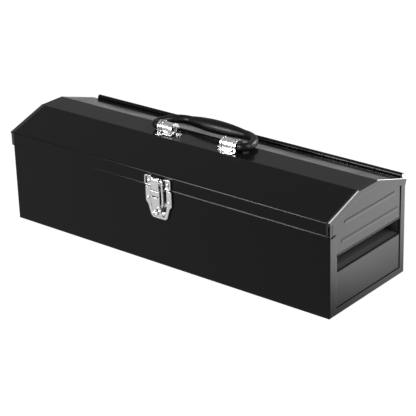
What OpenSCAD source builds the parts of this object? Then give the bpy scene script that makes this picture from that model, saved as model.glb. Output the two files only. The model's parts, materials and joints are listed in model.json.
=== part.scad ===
// Hip-roof steel tool box with a folding carry handle, a draw latch and a lift-out tray.
// +X runs along the length, -Y is the front, +Z is up.
// The origin is the centre of the bottom face.

/* [Body] */
// Length of the body
body_l = 485; // [440:5:520]
// Depth of the body, front to rear
body_d = 152; // [146:1:158]
// Thickness of the painted sheet
sheet = 0.9; // [0.8:0.1:1.1]
// Outer radius of the folded corners
corner_r = 2.2; // [1.6:0.2:2.6]
// Width of the front border folded over each end
front_border = 13; // [11:0.5:14]
// Width of the rear border folded over each end
rear_border = 10; // [8:0.5:11]
// Height of the bottom border folded over each end
bottom_border = 9.5; // [8:0.5:12]

/* [Lid] */
// Height of the lip's lower edge
lip_bottom = 101; // [100:0.5:102]
// Height of the crease above the lip
lip_top = 118.3; // [117.5:0.1:119]
// Height of the flat top
top_z = 137.2; // [136.5:0.1:138]
// Width of the lid's turned-down ends
end_flange = 7.5; // [6:0.5:9]

/* [Hand holds] */
// Height of the pocket's floor
pocket_floor = 53.5; // [50:0.5:55]
// Height of the upper end panel's lower edge
pocket_lintel = 72.5; // [72:0.5:74]
// Depth of the pocket
pocket_d = 26; // [22:1:30]

/* [Hinge] */
// Outer radius of the hinge knuckles
knuckle_r = 3.2; // [3.1:0.1:3.3]
// Radius of the hinge rod
rod_r = 1.55; // [1.4:0.05:1.6]
// Number of knuckles, shared by both leaves
knuckles = 13; // [9:2:17]

/* [Handle] */
// Offset of the handle from the middle of the lid
handle_x = 3; // [-8:1:8]
// Greatest half width of the grip's centre line
grip_half = 70; // [67:1:73]
// Radius of the moulded grip's arms
grip_r = 5.3; // [4.8:0.1:5.4]
// Radius of the moulded grip at its middle
mid_r = 8.5; // [7:0.1:8.6]
// Slope of the folded grip, up from level
fold_tilt = 0; // [-1:0.5:6]

/* [Tray] */
// Height of the tray's walls
tray_h = 30; // [24:1:34]
// Length of the tray
tray_l = 462; // [450:2:466]

/* [Hidden] */
$fn = 48;
eps = 0.01;

enamel = [0.10, 0.10, 0.105];
steel = [0.80, 0.81, 0.83];
rubbery = [0.05, 0.05, 0.05];

half_l = body_l / 2;
half_d = body_d / 2;

// Lid profile, (y, z) on the outside of the sheet
lip_gap = 0.6;
lip_y = -half_d - lip_gap - sheet;
crease_front_y = -20;
crease_rear_y = 16.7;
lid_rear_y = half_d - 0.7;
rear_slope = (top_z - 118.8) / (half_d - crease_rear_y);
lid_rear_z = top_z - rear_slope * (lid_rear_y - crease_rear_y);
lid_gap_x = 0.4;
lid_half = half_l + lid_gap_x + sheet;
bend_r = 1.6;

// Walls
front_top = 112;
rear_top = 115.4;
panel_x = half_l - sheet;
lintel_h = 2.3;

// Hinge axis, (y, z)
hinge_y = half_d + 3;
hinge_z = 119.9;
hinge_half = half_l - 6.5;
knuckle_gap = 0.4;

// Handle pivot, (y, z), and the grip's arcs
pivot_y = -4.5;
pivot_z = top_z + 7.1;
end_arc = 5.8;
side_arc = 28.7;
core_r = 2.6;
bracket_l = 23;
bracket_out = grip_half - 10;
bracket_skin = 1.3;

// Places of a bracket's rivets, (x, y)
bracket_rivet_at = [[bracket_out - 6, -15], [bracket_out - 6, 7.2], [bracket_out - bracket_l - 2.5, -4]];

// Latch, with w measured out from the front wall
lever_w = 6.0;
lever_z = 95.5;
bail_w = 5.6;
bail_z = 82.5;
bail_top = 112;
bail_leg_x = 8;
bail_r = 1.3;
pin_r = 1.25;
clearance = 0.05;
lever_half = 6.3;
tongue_half = 5.3;
rim_w = 3.0;
staple_w = 9.7;
staple_z = 72.5;
lever_skin = 1.0;
lever_out = 9.2;

// ---- helpers -------------------------------------------------------------

// Points of a bend of radius r at corner b, between straight runs from a and to c
function bend(a, b, c, r, n = 5) =
    let (u = (a - b) / norm(a - b), v = (c - b) / norm(c - b),
         half = acos(u * v) / 2,
         reach = r / tan(half),
         mid = (u + v) / norm(u + v),
         o = b + mid * (r / sin(half)),
         p = b + u * reach, q = b + v * reach,
         a0 = atan2(p[1] - o[1], p[0] - o[0]),
         a1 = atan2(q[1] - o[1], q[0] - o[0]),
         turn = (a1 - a0 > 180) ? a1 - a0 - 360 : (a1 - a0 < -180) ? a1 - a0 + 360 : a1 - a0)
    [for (i = [0:n]) o + r * [cos(a0 + turn * i / n), sin(a0 + turn * i / n)]];

// A corner list with every inner corner bent
function folded(pts, r) = [
    for (i = [0:len(pts) - 1])
        each (i == 0 || i == len(pts) - 1) ? [pts[i]] : bend(pts[i - 1], pts[i], pts[i + 1], r)
];

function unit(v) = v / norm(v);
function left_of(v) = [-v[1], v[0]];

// Offset of a polyline to its left by d
function beside(p, d) = [
    for (i = [0:len(p) - 1])
        let (a = i == 0 ? unit(p[1] - p[0]) : unit(p[i] - p[i - 1]),
             b = i == len(p) - 1 ? a : unit(p[i + 1] - p[i]),
             na = left_of(a), nb = left_of(b))
        p[i] + (na + nb) * d / (1 + na * nb)
];

function backwards(p) = [for (i = [len(p) - 1:-1:0]) p[i]];

// A sheet of thickness t that follows a polyline, on its left side
module sheet_outline(p, t) {
    polygon(concat(p, backwards(beside(p, t))));
}

// Extrudes a (y, z) outline along X from x0 to x1
module along_x(x0, x1) {
    translate([x0, 0, 0]) rotate([90, 0, 90]) linear_extrude(x1 - x0) children();
}

// Extrudes an (x, z) outline along Y from y0 to y1
module along_y(y0, y1) {
    translate([0, y1, 0]) rotate([90, 0, 0]) linear_extrude(y1 - y0) children();
}

module box(lo, hi) {
    translate(lo) cube(hi - lo);
}

module rod_x(x0, x1, y, z, r) {
    translate([x0, y, z]) rotate([0, 90, 0]) cylinder(r = r, h = x1 - x0);
}

module rod_y(y0, y1, x, z, r) {
    translate([x, y1, z]) rotate([90, 0, 0]) cylinder(r = r, h = y1 - y0);
}

// Rectangle from lo to hi with round corners
module round_rect(lo, hi, r) {
    translate([lo[0] + r, lo[1]]) square([hi[0] - lo[0] - 2 * r, hi[1] - lo[1]]);
    translate([lo[0], lo[1] + r]) square([hi[0] - lo[0], hi[1] - lo[1] - 2 * r]);
    for (x = [lo[0] + r, hi[0] - r], y = [lo[1] + r, hi[1] - r]) translate([x, y]) circle(r);
}

// Tall block whose upright and bottom edges are round
module folded_block(hx, hy, z0, z1, r) {
    intersection() {
        translate([0, 0, z0]) linear_extrude(z1 - z0) round_rect([-hx, -hy], [hx, hy], r);
        along_x(-hx, hx) round_rect([-hy, z0], [hy, z1 + 2 * r], r);
        along_y(-hy, hy) round_rect([-hx, z0], [hx, z1 + 2 * r], r);
    }
}

// Domed rivet head that faces along the direction given by rot
module rivet(at, rot, r, h) {
    ball = (r * r + h * h) / (2 * h);
    translate(at) rotate(rot) intersection() {
        translate([0, 0, h - ball]) sphere(ball);
        cylinder(r = r, h = h);
    }
}

module both_sides() {
    children();
    mirror([1, 0, 0]) children();
}

// A (w, z) outline of the latch, drawn out from the front wall, across x0 to x1
module latch_slice(x0, x1) {
    translate([0, -half_d, 0]) mirror([0, 1, 0]) along_x(x0, x1) children();
}

module latch_rod(x0, x1, w, z, r) {
    rod_x(x0, x1, -half_d - w, z, r);
}

// ---- body ----------------------------------------------------------------

module body_shell() {
    mitre = 0.5;
    border_top = 97.7;
    color(enamel) difference() {
        union() {
            difference() {
                folded_block(half_l, half_d, 0, rear_top, corner_r);
                folded_block(half_l - sheet, half_d - sheet, sheet, rear_top + 1, corner_r - sheet);
            }
            // hem inside the front wall's top edge
            box([-half_l + 14, -half_d + sheet - eps, front_top - 9],
                [half_l - 14, -half_d + 2 * sheet, front_top]);
        }
        // open ends between the folded borders
        box([-half_l - 1, -half_d + front_border, bottom_border],
            [half_l + 1, half_d - rear_border, rear_top + 2]);
        // front wall and borders stop under the lip
        box([-half_l - 1, -half_d - 1, front_top], [half_l + 1, 0, rear_top + 2]);
        for (side = [-1, 1]) {
            // front border stops below the lid, all but a narrow post at the corner
            along_x(side * half_l - 2, side * half_l + 2) polygon([
                [-half_d + corner_r + 0.4, border_top],
                [-half_d + front_border + 1, border_top + 1.6],
                [-half_d + front_border + 1, front_top + 1],
                [-half_d + corner_r + 0.4, front_top + 1]
            ]);
            // mitre lines between the borders
            translate([side * half_l, half_d - rear_border, bottom_border])
                rotate([-43.5, 0, 0]) box([-0.3, -1, -mitre / 2], [0.3, 16, mitre / 2]);
            translate([side * half_l, -half_d + front_border, bottom_border])
                rotate([36, 0, 0]) box([-0.3, -18, -mitre / 2], [0.3, 1, mitre / 2]);
        }
    }
}

// Upper end panel on the right side
module end_panel() {
    drop = 1.7;
    y0 = -half_d + 6.4;
    y1 = half_d - corner_r - 0.1;
    front_rise = (top_z - lip_top) / (crease_front_y - lip_y);
    gable = [
        [y0, pocket_lintel], [y1, pocket_lintel],
        [y1, top_z - drop - rear_slope * (y1 - crease_rear_y)],
        [crease_rear_y, top_z - drop], [crease_front_y, top_z - drop],
        [y0, top_z - drop - front_rise * (crease_front_y - y0)]
    ];
    color(enamel) {
        along_x(panel_x - sheet, panel_x) polygon(gable);
        bead(-45, 54.5, 108.6);
        bead(-51, 61, 87.6);
        rod_y(-half_d + front_border + 2.5, half_d - rear_border, panel_x - 0.6,
              pocket_lintel + 1.1, 1.1);
    }
}

// Pressed bead across the end panel at height z
module bead(y0, y1, z) {
    r = 6;
    proud = 0.5;
    intersection() {
        translate([panel_x + proud - r, 0, 0]) {
            rod_y(y0, y1, 0, z, r);
            for (y = [y0, y1]) translate([0, y, z]) sphere(r);
        }
        box([panel_x - 0.3, y0 - r, z - r], [panel_x + r, y1 + r, z + r]);
    }
}

// Lower end wall with the hand-hold pocket, right side
module hand_hold() {
    y0 = -half_d + corner_r + 0.1;
    y1 = half_d - corner_r - 0.1;
    p0 = -half_d + front_border + 2.5;
    p1 = half_d - rear_border;
    deep = panel_x - pocket_d;
    roof = pocket_lintel + lintel_h;
    edge_r = 1.5;
    groove = 7;
    color(enamel) difference() {
        union() {
            box([panel_x - sheet, y0, corner_r + 0.1], [panel_x, y1, pocket_lintel - 0.2]);
            box([deep - sheet, p0 - sheet, pocket_floor - 2 * sheet],
                [panel_x - sheet + eps, p1 + sheet, roof + sheet]);
            // flange behind the upper panel
            box([panel_x - 2 * sheet, p0, roof], [panel_x - sheet, p1, roof + 8]);
        }
        // the pocket itself, with a round front edge to its floor
        box([deep, p0, pocket_floor], [panel_x - sheet, p1, roof]);
        box([panel_x - sheet - eps, p0, pocket_floor], [panel_x + 1, p1, roof]);
        difference() {
            box([panel_x - edge_r, p0, pocket_floor - edge_r], [panel_x + 1, p1, pocket_floor + 1]);
            rod_y(p0 - 1, p1 + 1, panel_x - edge_r, pocket_floor - edge_r, edge_r);
        }
        // crease along the floor
        box([panel_x - groove - 1, p0, pocket_floor - 0.5], [panel_x - groove, p1, pocket_floor + 1]);
    }
}

// ---- hinge ---------------------------------------------------------------

pitch = 2 * hinge_half / knuckles;

// Runs of knuckles: first = 0 for the leaf that holds both ends, 1 for the other
module knuckle_row(first, bore) {
    for (i = [first:2:knuckles - 1]) {
        x0 = -hinge_half + i * pitch + knuckle_gap / 2;
        difference() {
            rod_x(x0, x0 + pitch - knuckle_gap, hinge_y, hinge_z, knuckle_r);
            rod_x(x0 - 1, x0 + pitch + 1, hinge_y, hinge_z, bore);
        }
    }
}

module hinge_leaf_body() {
    tip = hinge_z - 1.2;
    low = 97;
    color(enamel) difference() {
        union() {
            box([-hinge_half, half_d, low], [hinge_half, half_d + sheet, rear_top - 0.4]);
            for (i = [0:2:knuckles - 1]) {
                x0 = -hinge_half + i * pitch + knuckle_gap / 2;
                box([x0, half_d, rear_top - 1], [x0 + pitch - knuckle_gap, half_d + sheet, tip]);
            }
            knuckle_row(0, rod_r + 0.01);
        }
        rod_x(-half_l, half_l, hinge_y, hinge_z, rod_r + 0.01);
    }
}

module hinge_leaf_lid() {
    leaf = 14;
    start = [lid_rear_y, lid_rear_z] - beside_shift();
    along = unit([1, -rear_slope]);
    color(enamel) difference() {
        union() {
            along_x(-hinge_half, hinge_half)
                sheet_outline([start - along * 1.2, start - along * leaf], sheet);
            for (i = [1:2:knuckles - 1]) {
                x0 = -hinge_half + i * pitch + knuckle_gap / 2;
                along_x(x0, x0 + pitch - knuckle_gap)
                    sheet_outline([start + along * 2.9, start - along * 2], sheet);
            }
            knuckle_row(1, rod_r + clearance);
        }
        rod_x(-half_l, half_l, hinge_y, hinge_z, rod_r + clearance);
    }
}

// From the outside of the rear slope to its inside
function beside_shift() = sheet * unit([rear_slope, 1]);

module hinge_rod() {
    color(steel) rod_x(-hinge_half - 0.4, hinge_half + 0.4, hinge_y, hinge_z, rod_r);
}

// ---- lid -----------------------------------------------------------------

lid_corners = [
    [lid_rear_y, lid_rear_z], [crease_rear_y, top_z], [crease_front_y, top_z],
    [lip_y, lip_top], [lip_y, lip_bottom]
];

module lid_shell() {
    hem_r = 0.8;
    notch = 2.4;
    color(enamel) difference() {
        union() {
            along_x(-lid_half + sheet, lid_half - sheet)
                sheet_outline(folded(lid_corners, bend_r), sheet);
            both_sides() along_x(lid_half - sheet - eps, lid_half)
                polygon(concat(folded(lid_corners, bend_r), backwards(beside(lid_corners, end_flange))));
            rod_x(-lid_half + notch + 0.1, lid_half - notch - 0.1, lip_y + 0.35,
                  lip_bottom + hem_r - 0.15, hem_r);
        }
        both_sides() {
            // open corner between the lip and the turned-down end
            box([lid_half - notch, lip_y - 1, lip_bottom - 1],
                [lid_half + 1, lip_y + sheet + 0.05, lip_top - 1.9]);
            // gap behind the end's front tab
            box([lid_half - 2 * sheet, lip_y + 4.1, lip_bottom - 1],
                [lid_half + 1, lip_y + end_flange + 0.1, lip_top - 4.3]);
        }
    }
}

// ---- handle --------------------------------------------------------------

// Arch over the pivot, a (y, z) outline with its feet at z = base
module arch(r, base) {
    intersection() {
        translate([pivot_y, pivot_z]) circle(r);
        translate([pivot_y - r, base]) square([2 * r, pivot_z + r - base]);
    }
    translate([pivot_y - r, base]) square([2 * r, pivot_z - base]);
}

// Bracket to the right of the handle's middle
module handle_bracket() {
    arch_r = 6.8;
    hoop_r = 7.5;
    x1 = bracket_out;
    x0 = x1 - bracket_l;
    cheek = 1.6;
    color(steel) difference() {
        union() {
            along_x(x0, x1) arch(arch_r, top_z);
            // pressed hoops round the arch
            for (hoop = [[x0, 2.2], [x1 - 6.2, 1.8], [x1 - 2.2, 2.2]])
                along_x(hoop[0], hoop[0] + hoop[1]) arch(hoop_r, top_z);
            // foot with its three lobes
            translate([0, 0, top_z]) linear_extrude(bracket_skin) {
                translate([x0 - 0.5, pivot_y - 10]) square([bracket_l + 1, 20]);
                for (at = bracket_rivet_at)
                    round_rect(at - [6, 4], at + [6, 4], 3.4);
            }
        }
        along_x(x0 + cheek, x1 - cheek) arch(arch_r - bracket_skin, top_z + bracket_skin);
        rod_x(x0 - 5, x1 + 5, pivot_y, pivot_z, core_r + clearance);
    }
}

module bracket_rivets() {
    color(steel) translate([handle_x, 0, 0]) both_sides()
        for (at = bracket_rivet_at)
            rivet([at[0], at[1], top_z + bracket_skin], [0, 0, 0], 2, 1.1);
}

module bracket_backing() {
    color(steel) translate([handle_x, 0, 0]) both_sides()
        box([bracket_out - bracket_l - 3, pivot_y - 13, top_z - sheet - 1.2],
            [bracket_out + 3, pivot_y + 16, top_z - sheet]);
}

// Arms and bends of a tube of radius r along the handle, in its own plane: x across,
// y away from the pivot. The arms run inward to x = inner.
module handle_arms(r, inner) {
    both_sides() {
        rod_x(inner, grip_half - end_arc, 0, 0, r);
        translate([grip_half - end_arc, end_arc, 0]) rotate([0, 0, -90])
            rotate_extrude(angle = 90) translate([end_arc, 0]) circle(r);
        translate([grip_half - side_arc, end_arc, 0])
            rotate_extrude(angle = 90) translate([side_arc, 0]) circle(r);
    }
}

// Straight bar between the bends, which swells from radius r to radius middle
module handle_bar(r, middle) {
    bar = grip_half - side_arc;
    half = bar - 1;
    bow = middle - r - 0.08;
    big = (half * half + bow * bow) / (2 * bow);
    translate([0, end_arc + side_arc, 0]) rotate([0, 90, 0]) rotate_extrude() {
        translate([0, -bar]) square([r, 2 * bar]);
        if (middle > r) intersection() {
            translate([middle - big, 0]) circle(big, $fn = 360);
            translate([0, -half]) square([middle + 1, 2 * half]);
        }
    }
}

module at_handle() {
    translate([handle_x, pivot_y, pivot_z]) rotate([fold_tilt, 0, 0]) children();
}

module handle_core() {
    color(steel) at_handle() {
        handle_arms(core_r, bracket_out - bracket_l + 0.3);
        handle_bar(core_r, core_r);
    }
}

module handle_grip() {
    color(rubbery) at_handle() difference() {
        union() {
            handle_arms(grip_r, bracket_out + 0.6);
            handle_bar(grip_r, mid_r);
        }
        handle_arms(core_r, bracket_out - 5);
        handle_bar(core_r, core_r);
    }
}

// ---- latch ---------------------------------------------------------------

module latch_base() {
    top = 100.3;
    floor_w = 1.2;
    ear_r = 1.9;
    shield = [[-19.6, top], [-19.6, 81.5], [-16.4, 78.2], [-12.2, 65], [-9, 62.6],
              [9, 62.6], [12.2, 65], [16.4, 78.2], [19.6, 81.5], [19.6, top]];
    channel = [[-12.4, top + 1], [-12.4, 79.5], [-8.6, 66.8], [-6, 65],
               [6, 65], [8.6, 66.8], [12.4, 79.5], [12.4, top + 1]];
    color(steel) {
        along_y(-half_d - floor_w, -half_d) polygon(shield);
        difference() {
            along_y(-half_d - rim_w, -half_d - floor_w) polygon(shield);
            along_y(-half_d - rim_w - 1, -half_d - floor_w + eps) polygon(channel);
        }
        // ears inside the lever that carry its pin
        both_sides() latch_slice(3.6, 4.8) difference() {
            union() {
                translate([lever_w, lever_z]) circle(ear_r);
                polygon([[floor_w - eps, lever_z - ear_r], [lever_w, lever_z - ear_r],
                         [lever_w, lever_z + ear_r], [floor_w - eps, lever_z + 0.4]]);
            }
            translate([lever_w, lever_z]) circle(pin_r + 0.01);
        }
    }
}

module latch_base_rivets() {
    color(steel) {
        both_sides() rivet([15.9, -half_d - rim_w, 86], [90, 0, 0], 2.2, 1.2);
        rivet([0, -half_d - rim_w, 63.8], [90, 0, 0], 1.1, 0.7);
    }
}

module padlock_staple() {
    color(steel) latch_slice(-0.9, 0.9) difference() {
        union() {
            translate([1.2, staple_z - 3.5]) square([staple_w - 1.2, 7]);
            translate([staple_w, staple_z]) circle(3.2);
        }
        translate([staple_w, staple_z]) circle(2);
    }
}

module lever_pin() {
    color(steel) latch_rod(-lever_half + 0.05, lever_half - 0.05, lever_w, lever_z, pin_r);
}

module latch_lever() {
    knee = 84;
    tail_w = 5.2;
    tail_z = 66;
    crown = 99.4;
    plate = [[lever_out, crown], [lever_out, knee], [tail_w, tail_z]];
    cheek = [[lever_out - 0.2, crown], [lever_out - 0.2, knee], [8.0, 78], [2.4, 78.8],
             [2.4, 86], [3.6, 92], [3.6, 97.6], [4.6, crown]];
    color(steel) difference() {
        union() {
            latch_slice(-lever_half, lever_half)
                sheet_outline(backwards(folded(plate, 3)), lever_skin);
            both_sides() latch_slice(lever_half - lever_skin, lever_half) polygon(cheek);
        }
        // window across the lever
        latch_slice(-4.9, 4.9) translate([lever_out - 2, 91.5]) square([3, 1.9]);
        // slot that the padlock staple comes through
        latch_slice(-1.6, 1.6) translate([3, staple_z - 4.6]) square([7, 9.3]);
        latch_rod(-9, 9, lever_w, lever_z, pin_r + clearance);
        latch_rod(-9, 9, bail_w, bail_z, bail_r + clearance);
    }
}

// Wire bail: a cross bar through the lever, two legs and short hooked tips beside the tongue
module latch_bail() {
    elbow = 1.8;
    color(steel) both_sides() translate([0, -half_d - bail_w, 0]) {
        translate([bail_leg_x, 0, bail_z + elbow]) cylinder(r = bail_r, h = bail_top - bail_z - 2 * elbow);
        for (end = [0, 1]) translate([bail_leg_x - elbow, 0, end == 0 ? bail_z + elbow : bail_top - elbow])
            rotate([90, 0, 0]) rotate([0, 0, end == 0 ? -90 : 0])
                rotate_extrude(angle = 90) translate([elbow, 0]) circle(bail_r);
        rod_x(-eps, bail_leg_x - elbow + eps, 0, bail_z, bail_r);
        rod_x(tongue_half + 0.35, bail_leg_x - elbow + eps, 0, bail_top, bail_r);
    }
}

module latch_keeper() {
    back = lip_gap + sheet;
    skin = 1.2;
    ear_w = 4.2;
    ear_rim = 1.4;
    ear_lo = [9.7, 102.3];
    ear_hi = [19.8, 115.2];
    tongue_in = 7.7;
    tongue_low = 100.6;
    tongue_top = 114;
    web_z = 107.6;
    color(steel) {
        // ears and the strip between them
        along_y(-half_d - back - skin, -half_d - back) {
            both_sides() round_rect(ear_lo, ear_hi, 2.4);
            translate([-12, 104.5]) square([24, 8]);
        }
        // raised edge round each ear, open toward the tongue
        both_sides() along_y(-half_d - ear_w, -half_d - back - skin + eps) difference() {
            round_rect(ear_lo, ear_hi, 2.4);
            round_rect([ear_lo[0] - 4, ear_lo[1] + ear_rim], ear_hi - [ear_rim, ear_rim], 1.4);
        }
        // hook tongue in front, on its web
        latch_slice(-tongue_half, tongue_half) {
            translate([tongue_in, tongue_low]) square([skin, tongue_top - tongue_low - skin / 2]);
            translate([tongue_in + skin / 2, tongue_top - skin / 2]) circle(skin / 2);
        }
        latch_slice(-tongue_half + 0.6, tongue_half - 0.6)
            translate([back + skin - eps, web_z]) square([tongue_in - back - skin + 2 * eps, 1.5]);
    }
}

module keeper_rivets() {
    color(steel) both_sides()
        rivet([14.4, -half_d - lip_gap - sheet - 1.2, 108.2], [90, 0, 0], 2.4, 1.3);
}

// ---- tray ----------------------------------------------------------------

tray_z = pocket_lintel + lintel_h + sheet + 0.3;
tray_half = tray_l / 2;
tray_d = 134;
tray_sheet = 0.8;

module tray_pan() {
    r = 6;
    rim = 1.5;
    out = 0.75;
    hd = tray_d / 2;
    color(enamel) {
        difference() {
            folded_block(tray_half, hd, tray_z, tray_z + tray_h, r);
            folded_block(tray_half - tray_sheet, hd - tray_sheet, tray_z + tray_sheet,
                         tray_z + tray_h + 1, r - tray_sheet);
        }
        // rolled rim
        translate([0, 0, tray_z + tray_h]) {
            for (y = [-hd, hd]) rod_x(-tray_half + r, tray_half - r, y + sign(y) * out, 0, rim);
            for (x = [-tray_half, tray_half]) rod_y(-hd + r, hd - r, x + sign(x) * out, 0, rim);
            for (sx = [0, 1], sy = [0, 1]) mirror([sx, 0, 0]) mirror([0, sy, 0])
                translate([tray_half - r, hd - r, 0])
                    rotate_extrude(angle = 90) translate([r + out, 0]) circle(rim);
        }
    }
}

module tray_partition() {
    hd = tray_d / 2 - tray_sheet - 0.1;
    color(enamel) for (x = [-70, 70]) translate([x, 0, 0]) {
        box([-0.4, -hd + 0.1, tray_z + tray_sheet + 5.5], [0.4, hd - 0.1, tray_z + tray_h - 5]);
        box([-0.4, -hd + 6, tray_z + tray_sheet], [0.4, hd - 6, tray_z + tray_sheet + 6]);
        box([-0.4, -hd + 6, tray_z + tray_sheet], [11, hd - 6, tray_z + tray_sheet + 0.8]);
    }
}

// Strap across the tray, riveted inside its long walls
module tray_handle() {
    skin = 1.4;
    y0 = tray_d / 2 - tray_sheet;
    rise = tray_z + tray_h;
    line = [[-y0, rise - 20], [-y0, rise + 2], [-34, 122], [34, 122], [y0, rise + 2], [y0, rise - 20]];
    color(steel) along_x(-11, 11) sheet_outline(backwards(folded(line, 4)), skin);
}

module tray_rivets() {
    y0 = tray_d / 2;
    color(steel) for (side = [-1, 1], z = [tray_z + 14, tray_z + 24])
        rivet([0, side * y0, z], [-90 * side, 0, 0], 2, 0.9);
}

// ---- assembly ------------------------------------------------------------

body_shell();
end_panel();  // end_panel_right
mirror([1, 0, 0]) end_panel();  // end_panel_left
hand_hold();  // hand_hold_right
mirror([1, 0, 0]) hand_hold();  // hand_hold_left
hinge_leaf_body();
hinge_rod();
latch_base();
latch_base_rivets();
padlock_staple();
lever_pin();
lid_shell();
hinge_leaf_lid();
latch_keeper();
keeper_rivets();
translate([handle_x, 0, 0]) handle_bracket();  // handle_bracket_right
translate([handle_x, 0, 0]) mirror([1, 0, 0]) handle_bracket();  // handle_bracket_left
bracket_rivets();
bracket_backing();
handle_core();
handle_grip();
latch_lever();
latch_bail();
tray_pan();
tray_partition();
tray_handle();
tray_rivets();
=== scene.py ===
"""Looks of the hip-roof tool box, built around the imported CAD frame.

Metres, +Z up, front is -Y. Every shape is a CAD node, so this script adds the paint,
the plating, the grip's plastic, the studio and the camera.
"""
import json
import math

import bpy
from mathutils import Matrix, Vector


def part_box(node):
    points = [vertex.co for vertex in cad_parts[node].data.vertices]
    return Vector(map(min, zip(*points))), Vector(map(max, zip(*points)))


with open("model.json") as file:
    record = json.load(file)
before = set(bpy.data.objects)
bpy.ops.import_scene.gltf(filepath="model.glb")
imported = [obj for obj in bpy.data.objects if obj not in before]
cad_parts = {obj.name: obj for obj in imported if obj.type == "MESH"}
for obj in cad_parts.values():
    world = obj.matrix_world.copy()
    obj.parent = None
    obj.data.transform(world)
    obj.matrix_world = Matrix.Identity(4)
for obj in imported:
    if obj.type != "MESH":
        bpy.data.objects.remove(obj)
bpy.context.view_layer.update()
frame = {"nodes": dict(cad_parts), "record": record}

HALF_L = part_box("body_shell")[1].x
HALF_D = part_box("body_shell")[1].y
LID_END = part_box("lid_shell")[1].x
END_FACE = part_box("hand_hold_right")[1].x

# studio levels, as linear radiance
WHITE = 1.05             # what the camera sees of the floor and the background
FLOOR_GLOW = 0.6         # the floor in reflections
RIGHT_GLOW = 4.8         # what it gains beside the right end
# (height, level) of the sky in reflections, with height 0 straight down and 1 straight up
SKY = [(0.0, 0.11), (0.5, 0.11), (0.7, 0.5), (0.87, 0.36), (0.999, 0.25)]


# ---- camera ----------------------------------------------------------------------

def camera(azimuth, elevation, roll, place, lens):
    a, e = math.radians(azimuth), math.radians(elevation)
    back = Vector((math.sin(a) * math.cos(e), -math.cos(a) * math.cos(e), math.sin(e)))
    data = bpy.data.cameras.new("camera")
    data.sensor_width = 36
    data.lens = lens
    data.clip_start, data.clip_end = 0.05, 50
    obj = bpy.data.objects.new("camera", data)
    bpy.context.scene.collection.objects.link(obj)
    turn = (-back).to_track_quat("-Z", "Y").to_matrix().to_4x4()
    obj.matrix_world = Matrix.Translation(place) @ turn @ Matrix.Rotation(math.radians(roll), 4, "Z")
    bpy.context.scene.camera = obj


# ---- node helpers ----------------------------------------------------------------

def new_material(name):
    m = bpy.data.materials.new(name)
    m.use_nodes = True
    nt = m.node_tree
    return m, nt, nt.nodes["Principled BSDF"]


def grey(level):
    return (level, level, level, 1)


def feed(nt, socket, source):
    """Link an output to a socket, or set a plain value on it."""
    if isinstance(source, bpy.types.NodeSocket):
        nt.links.new(source, socket)
    else:
        socket.default_value = source


def maths(nt, operation, *values):
    node = nt.nodes.new("ShaderNodeMath")
    node.operation = operation
    for socket, value in zip(node.inputs, values):
        feed(nt, socket, value)
    return node.outputs["Value"]


def mixed(nt, factor, a, b, blend="MIX"):
    """Blend of two colours."""
    node = nt.nodes.new("ShaderNodeMix")
    node.data_type = "RGBA"
    node.blend_type = blend
    feed(nt, node.inputs["Factor"], factor)
    feed(nt, node.inputs["A"], a)
    feed(nt, node.inputs["B"], b)
    return node.outputs["Result"]


def axes(nt, vector):
    """The x, y and z of a vector."""
    split = nt.nodes.new("ShaderNodeSeparateXYZ")
    nt.links.new(vector, split.inputs["Vector"])
    return split.outputs["X"], split.outputs["Y"], split.outputs["Z"]


def coordinates(nt, kind):
    return nt.nodes.new("ShaderNodeTexCoord").outputs[kind]


def noise(nt, scale, detail):
    tex = nt.nodes.new("ShaderNodeTexNoise")
    tex.inputs["Scale"].default_value = scale
    tex.inputs["Detail"].default_value = detail
    nt.links.new(coordinates(nt, "Object"), tex.inputs["Vector"])
    return tex.outputs["Fac"]


def ramp(nt, source, low, high, at=(0.35, 0.65), shape="LINEAR"):
    """From low to high as the source runs over the range at."""
    node = nt.nodes.new("ShaderNodeMapRange")
    node.interpolation_type = shape
    node.inputs["From Min"].default_value = at[0]
    node.inputs["From Max"].default_value = at[1]
    node.inputs["To Min"].default_value = low
    node.inputs["To Max"].default_value = high
    nt.links.new(source, node.inputs["Value"])
    return node.outputs["Result"]


def edge_normal(nt, radius):
    """Normal that rounds sheet edges, so that they catch a thin highlight."""
    node = nt.nodes.new("ShaderNodeBevel")
    node.samples = 6
    node.inputs["Radius"].default_value = radius
    return node.outputs["Normal"]


def bump(nt, bsdf, height, strength, distance, normal=None):
    node = nt.nodes.new("ShaderNodeBump")
    node.inputs["Strength"].default_value = strength
    node.inputs["Distance"].default_value = distance
    nt.links.new(height, node.inputs["Height"])
    if normal:
        nt.links.new(normal, node.inputs["Normal"])
    nt.links.new(node.outputs["Normal"], bsdf.inputs["Normal"])


# ---- materials -------------------------------------------------------------------

def enamel(name, rough=(0.11, 0.17), shade=(0.003, 0.005), sheen=0.12, change=None):
    """Gloss paint with a faint ripple. change can alter its colour and normal by place."""
    m, nt, b = new_material(name)
    waves = noise(nt, 30, 2)
    grain = noise(nt, 900, 2)
    b.inputs["Specular IOR Level"].default_value = sheen
    feed(nt, b.inputs["Roughness"], ramp(nt, waves, *rough))
    colour = mixed(nt, grain, grey(shade[0]), grey(shade[1]))
    normal = edge_normal(nt, 0.0012)
    if change:
        colour, normal = change(nt, b, colour, normal)
    feed(nt, b.inputs["Base Color"], colour)
    bump(nt, b, waves, 0.03, 0.0006, normal)
    return m


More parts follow.
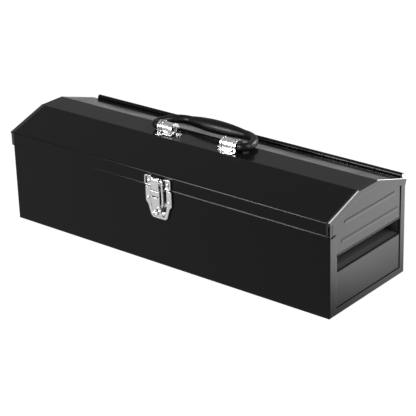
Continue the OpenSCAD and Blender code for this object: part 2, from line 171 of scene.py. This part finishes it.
def end_bends(nt, b, colour, normal):
    """Lean the shading normal outward near both ends of the lid, like a soft bend in the sheet, with
    a painted sheen on the bend.
    """
    width = 0.005
    turn = 1.3
    x = axes(nt, coordinates(nt, "Object"))[0]
    right = ramp(nt, x, 0.0, turn, (LID_END - width, LID_END))
    left = ramp(nt, x, -turn, 0.0, (-LID_END, width - LID_END))
    lean = maths(nt, "ADD", right, left)

    # the end faces themselves point along x and keep plain paint
    face = nt.nodes.new("ShaderNodeNewGeometry").outputs["True Normal"]
    end_on = maths(nt, "ABSOLUTE", axes(nt, face)[0])
    bend = maths(nt, "MULTIPLY", maths(nt, "ABSOLUTE", lean), ramp(nt, end_on, 1.0, 0.0, (0.1, 0.6)))
    # painted sheen: on the bend the paint turns partly metallic and paler, so the bend shows a
    # brighter highlight
    painted_sheen = ramp(nt, bend, 0.0, 1.0, (0.0, 0.4))
    feed(nt, b.inputs["Metallic"], painted_sheen)

    outward = nt.nodes.new("ShaderNodeCombineXYZ")
    nt.links.new(lean, outward.inputs["X"])
    leaned = nt.nodes.new("ShaderNodeVectorMath")
    nt.links.new(normal, leaned.inputs[0])
    nt.links.new(outward.outputs["Vector"], leaned.inputs[1])
    unit = nt.nodes.new("ShaderNodeVectorMath")
    unit.operation = "NORMALIZE"
    nt.links.new(leaned.outputs["Vector"], unit.inputs[0])
    return mixed(nt, painted_sheen, colour, grey(0.07)), unit.outputs["Vector"]


def pocket_painted_light(nt, b, colour, normal):
    """Paint the pocket's inside, behind the end's face, a paler grey: painted light, where light
    falls into the pocket.
    """
    depth = maths(nt, "ABSOLUTE", axes(nt, coordinates(nt, "Object"))[0])
    inside = ramp(nt, depth, 1.0, 0.0, (END_FACE - 0.004, END_FACE - 0.001))
    return mixed(nt, inside, colour, grey(0.035)), normal


def chrome(name, rough=(0.1, 0.24), shade=(0.8, 0.95)):
    """Bright plating, with painted shade that darkens it where the metal folds in on itself."""
    m, nt, b = new_material(name)
    smear = noise(nt, 260, 4)
    # painted shade: ambient occlusion darkens the plating's colour in crevices, where shade falls
    crevices = nt.nodes.new("ShaderNodeAmbientOcclusion")
    crevices.samples = 8
    crevices.inputs["Distance"].default_value = 0.003
    painted_crevice_shade = ramp(nt, crevices.outputs["AO"], 0.04, 1.0, (0.5, 0.92))
    plating = mixed(nt, smear, grey(shade[0]), grey(shade[1]))
    b.inputs["Metallic"].default_value = 1.0
    feed(nt, b.inputs["Roughness"], ramp(nt, smear, *rough))
    feed(nt, b.inputs["Base Color"], mixed(nt, 1.0, plating, painted_crevice_shade, "MULTIPLY"))
    bump(nt, b, smear, 0.05, 0.0003, edge_normal(nt, 0.0004))
    return m


def moulded(name):
    """Black plastic with a fine grain."""
    m, nt, b = new_material(name)
    grain = noise(nt, 700, 3)
    b.inputs["Specular IOR Level"].default_value = 0.14
    feed(nt, b.inputs["Roughness"], ramp(nt, grain, 0.26, 0.36))
    feed(nt, b.inputs["Base Color"], mixed(nt, grain, grey(0.003), grey(0.006)))
    bump(nt, b, grain, 0.12, 0.0002)
    return m


# ---- dressing the CAD nodes ------------------------------------------------------

def dress(node, material):
    mesh = frame["nodes"][node].data
    mesh.materials.clear()
    mesh.materials.append(material)


def dress_all():
    by_slot = {
        "black_enamel": enamel("black_enamel"),
        "tray_enamel": enamel("tray_enamel", (0.3, 0.42), (0.01, 0.016), 0.3),
        "plated_steel": chrome("plated_steel"),
        "bare_steel": chrome("bare_steel", (0.28, 0.42), (0.4, 0.52)),
        "moulded_grip": moulded("moulded_grip"),
    }
    for part in frame["record"]["subparts"]:
        dress(part["node"], by_slot[part["material_slot"]])
    dress("lid_shell", enamel("lid_enamel", change=end_bends))
    # the pockets' insides get painted light
    pocket = enamel("pocket_enamel", change=pocket_painted_light)
    for side in ("left", "right"):
        dress("hand_hold_" + side, pocket)


# ---- studio ----------------------------------------------------------------------

def softbox(name, place, aim, size, radiance):
    """An area light of the given radiance. It isn't seen directly."""
    data = bpy.data.lights.new(name, "AREA")
    data.shape = "RECTANGLE"
    data.size, data.size_y = size
    data.energy = radiance * math.pi * size[0] * size[1]
    obj = bpy.data.objects.new(name, data)
    bpy.context.scene.collection.objects.link(obj)
    obj.location = place
    obj.rotation_mode = "QUATERNION"
    obj.rotation_quaternion = (Vector(aim) - Vector(place)).to_track_quat("-Z", "Y")


def white_to_camera(nt, reflected):
    """White where the camera looks straight at it, and the given level in reflections."""
    path = nt.nodes.new("ShaderNodeLightPath")
    return mixed(nt, path.outputs["Is Camera Ray"], reflected, grey(WHITE))


def floor():
    """A glowing floor: in reflections it is pale, and bright beside the right end."""
    half = 1.3
    mesh = bpy.data.meshes.new("floor")
    corners = [(-half, -half, 0), (half, -half, 0), (half, half, 0), (-half, half, 0)]
    mesh.from_pydata(corners, [], [(0, 1, 2, 3)])
    obj = bpy.data.objects.new("floor", mesh)
    bpy.context.scene.collection.objects.link(obj)
    m = bpy.data.materials.new("floor_paint")
    m.use_nodes = True
    nt = m.node_tree
    nt.nodes.clear()
    x, y, _ = axes(nt, coordinates(nt, "Object"))
    past_end = ramp(nt, x, 0.0, 1.0, (HALF_L - 0.06, HALF_L + 0.12), "SMOOTHSTEP")
    past_front = ramp(nt, y, 0.0, 1.0, (-HALF_D - 0.05, HALF_D), "SMOOTHSTEP")
    beside = maths(nt, "MULTIPLY", past_end, past_front)
    glow = nt.nodes.new("ShaderNodeEmission")
    out = nt.nodes.new("ShaderNodeOutputMaterial")
    level = maths(nt, "MULTIPLY_ADD", beside, RIGHT_GLOW, FLOOR_GLOW)
    feed(nt, glow.inputs["Color"], white_to_camera(nt, level))
    nt.links.new(glow.outputs["Emission"], out.inputs["Surface"])
    mesh.materials.append(m)


def sky():
    """A white background, and a dark studio with a paler band half way up in reflections."""
    world = bpy.data.worlds.new("studio")
    bpy.context.scene.world = world
    world.use_nodes = True
    nt = world.node_tree
    fade = nt.nodes.new("ShaderNodeValToRGB")
    steps = fade.color_ramp.elements
    for at, level in SKY:
        steps.new(at).color = grey(level)
    steps.remove(steps[0])
    height = ramp(nt, axes(nt, coordinates(nt, "Generated"))[2], 0.0, 1.0, (-1.0, 1.0))
    nt.links.new(height, fade.inputs["Fac"])
    feed(nt, nt.nodes["Background"].inputs["Color"], white_to_camera(nt, fade.outputs["Color"]))


def softboxes():
    # front left, from the floor up to well above the lid
    softbox("left_softbox", (-0.52, -0.95, 0.45), (0.1, -0.08, 0.1), (0.35, 0.6), 28.0)
    # right, low enough to look into the pocket
    softbox("right_softbox", (1.3, 0.2, 0.35), (HALF_L, 0, 0.07), (0.8, 0.6), 3.0)
    # above the right end and behind it, for the bends along the lid's end
    softbox("top_softbox", (0.95, 0.08, 0.85), (HALF_L, 0, 0.12), (0.8, 0.8), 9.0)
    softbox("rear_softbox", (0.52, 1.5, 0.6), (HALF_L, 0.05, 0.13), (0.7, 0.5), 18.0)


camera(39.69, 23.63, -1.79, Vector((1.1727, -1.4017, 0.8471)), 141.8)
dress_all()
floor()
sky()
softboxes()
bpy.context.scene.view_settings.view_transform = "Standard"
